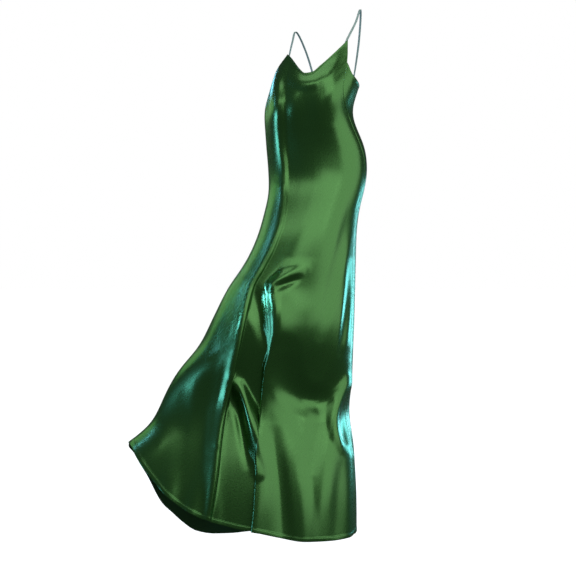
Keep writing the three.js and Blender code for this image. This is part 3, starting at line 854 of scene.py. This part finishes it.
def satin(name, deep, bright, roughness, metallic, coat):
    """Long floats of thread on the bias: fine weave, uneven slubs and soft puckers"""
    material = bpy.data.materials.new(name)
    material.use_nodes = True
    tree = material.node_tree
    shader = tree.nodes["Principled BSDF"]
    uv = tree.nodes.new("ShaderNodeUVMap")
    uv.uv_map = "cloth"
    bias = tree.nodes.new("ShaderNodeVectorRotate")
    bias.inputs["Angle"].default_value = BIAS
    tree.links.new(uv.outputs["UV"], bias.inputs["Vector"])
    threads = noise(tree, bias.outputs["Vector"], THREADS["cells"], 1)
    slubs = noise(tree, bias.outputs["Vector"], SLUBS, 2)
    puckers = noise(tree, uv.outputs["UV"], PUCKERS["cells"], 1)
    colour = two_colours(tree, deep, bright, spread(tree, slubs, *SLUB_COLOURS))
    tree.links.new(colour, shader.inputs["Base Color"])
    uneven = spread(tree, slubs, roughness - SLUB_ROUGHNESS, roughness + SLUB_ROUGHNESS)
    tree.links.new(uneven, shader.inputs["Roughness"])
    normal = bump(tree, threads, THREADS, bump(tree, puckers, PUCKERS))
    tree.links.new(normal, shader.inputs["Normal"])
    shader.inputs["Metallic"].default_value = metallic
    shader.inputs["Specular IOR Level"].default_value = 0.6
    shader.inputs["Coat Weight"].default_value = coat
    shader.inputs["Coat Roughness"].default_value = COAT_ROUGHNESS
    return material


def thread_material():
    """Two-ply sewing thread, a little lighter than the satin"""
    material = bpy.data.materials.new("green_thread")
    material.use_nodes = True
    tree = material.node_tree
    shader = tree.nodes["Principled BSDF"]
    coordinates = tree.nodes.new("ShaderNodeTexCoord")
    ply = noise(tree, coordinates.outputs["Object"], PLY, 1)
    colour = two_colours(tree, (0.07, 0.2, 0.06), (0.12, 0.3, 0.1), ply)
    tree.links.new(colour, shader.inputs["Base Color"])
    shader.inputs["Roughness"].default_value = 0.5
    shader.inputs["Sheen Weight"].default_value = 0.3
    return material


FACE = satin("green_satin", (0.052, 0.185, 0.038), (0.07, 0.235, 0.052), 0.28, 0.8, 0.3)
REVERSE = satin("satin_reverse", (0.03, 0.11, 0.028), (0.045, 0.15, 0.036), 0.5, 0.35, 0.0)
# The straps' pale blue-green is a painted highlight: they are the same green satin as the dress, coloured as
# they look where they catch the light.
STRAP_PAINTED_HIGHLIGHT = satin("strap_satin_painted_highlight", (0.32, 0.5, 0.44), (0.45, 0.64, 0.58), 0.45, 0.0, 0.2)
THREAD = thread_material()

# The pieces

for panel, measures in (("front", front_measures()), ("back", back_measures())):
    outer, inner, outward = panel_grid(*measures)
    panel_piece(f"{panel}_cloth", outer, inner, (FACE, REVERSE))
    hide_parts(f"{panel}_panel")
    edge = stitches(f"{panel}_edge_stitches", outer, outward, EDGE["stitch_row"], THREAD)
    hem = stitches(f"{panel}_hem_stitches", outer, outward, -1 - HEM["stitch_row"], THREAD)
straps = [strap_piece(side, STRAP_PAINTED_HIGHLIGHT) for side in STRAPS]


# Studio

def from_view(across, depth, height):
    """From the viewer's axes to the dress's own"""
    return Vector((*turned(across, depth), height))


# Soft boxes: where each is and what it faces, across, away and up in metres, then its size, power and colour.
# The keys light the satin green, and the windows are the blue strokes along its folds.

MIDDLE = (-0.11, 0, -0.73)
SOFT_BOXES = {
    "front_key": ((0.33, -3.2, 1.0), MIDDLE, (2.6, 2.4), 29, (1, 0.97, 0.98)),
    "right_key": ((2.6, -1.75, -0.1), MIDDLE, (3.8, 2.7), 38, (1, 0.97, 0.98)),
    "high_key": ((-1.85, -2.45, 1.6), MIDDLE, (2.2, 1.0), 10, (1, 0.97, 0.98)),
    "top_key": ((-0.9, -0.9, 2.2), (-0.1, 0, -0.2), (2.2, 0.8), 9, (1, 0.97, 0.98)),
    "left_key": ((-2.3, 1.75, 0.3), MIDDLE, (2.0, 0.7), 4, (0.55, 1, 0.45)),
    "right_window": ((1.7, 2.4, -0.9), MIDDLE, (0.45, 0.9), 14, (0.25, 0.6, 0.8)),
    "low_right_window": ((2.45, 1.6, -1.0), MIDDLE, (0.7, 0.6), 18, (0.22, 0.55, 1)),
    "left_window": ((-8.9, -0.6, -1.7), MIDDLE, (4.6, 2.2), 440, (0.2, 0.42, 1)),
    "hook_window": ((-1.35, -0.29, -0.42), (-0.14, -0.12, -0.72), (0.3, 0.16), 0.15, (0.2, 0.42, 1)),
    "high_left_window": ((-2.65, 0.65, 0.7), MIDDLE, (0.16, 0.5), 3.5, (0.2, 0.42, 1)),
    "chest_window": ((-1.4, 2.55, 0.72), (-0.2, 0, -0.25), (0.8, 0.25), 4.5, (0.25, 0.67, 1)),
}
# The window of the hooked fold shines on that fold only
HOOK_BEAM = math.radians(18)


def add_soft_box(name, position, target, size, power, color):
    light = bpy.data.lights.new(name, "AREA")
    light.shape = "RECTANGLE"
    light.size, light.size_y = size
    light.energy = power
    light.color = color
    lamp = bpy.data.objects.new(name, light)
    lamp.location = from_view(*position)
    lamp.rotation_euler = (from_view(*target) - lamp.location).to_track_quat("-Z", "Y").to_euler()
    bpy.context.scene.collection.objects.link(lamp)
    return light


def add_camera():
    data = bpy.data.cameras.new("camera")
    data.sensor_width = SENSOR_WIDTH
    data.lens = SENSOR_WIDTH * VIEW_DISTANCE / FRAME_WIDTH
    camera = bpy.data.objects.new("camera", data)
    camera.location = from_view(MIDDLE_ACROSS * MM, -VIEW_DISTANCE * MM, -MIDDLE_DOWN * MM)
    camera.rotation_euler = (math.pi / 2, 0, TURN)
    bpy.context.scene.collection.objects.link(camera)
    bpy.context.scene.camera = camera


def add_surroundings():
    """White behind the dress, and dim grey in what the satin reflects"""
    world = bpy.data.worlds.new("studio")
    world.use_nodes = True
    bpy.context.scene.world = world
    tree = world.node_tree
    path = tree.nodes.new("ShaderNodeLightPath")
    colour = two_colours(tree, (0.05, 0.06, 0.055), (1, 1, 1), path.outputs["Is Camera Ray"])
    tree.links.new(colour, tree.nodes["Background"].inputs["Color"])


# The floor, just below the hem: half its size and its height, in metres
FLOOR = 400
FLOOR_HEIGHT = -1.47


def add_floor():
    mesh = bpy.data.meshes.new("floor")
    corners = [(x * FLOOR, y * FLOOR, FLOOR_HEIGHT) for x, y in ((-1, -1), (1, -1), (1, 1), (-1, 1))]
    mesh.from_pydata(corners, [], [(0, 1, 2, 3)])
    floor = bpy.data.objects.new("floor", mesh)
    bpy.context.scene.collection.objects.link(floor)
    pale = bpy.data.materials.new("pale_floor")
    pale.use_nodes = True
    shader = pale.node_tree.nodes["Principled BSDF"]
    shader.inputs["Base Color"].default_value = (0.9, 0.9, 0.9, 1)
    shader.inputs["Roughness"].default_value = 0.8
    shader.inputs["Emission Color"].default_value = (1, 1, 1, 1)
    shader.inputs["Emission Strength"].default_value = 1
    mesh.materials.append(pale)
    floor.visible_glossy = False
    floor.visible_diffuse = False


lights = {name: add_soft_box(name, *box) for name, box in SOFT_BOXES.items()}
lights["hook_window"].spread = HOOK_BEAM
add_camera()
add_surroundings()
add_floor()
bpy.context.scene.view_settings.view_transform = "Standard"
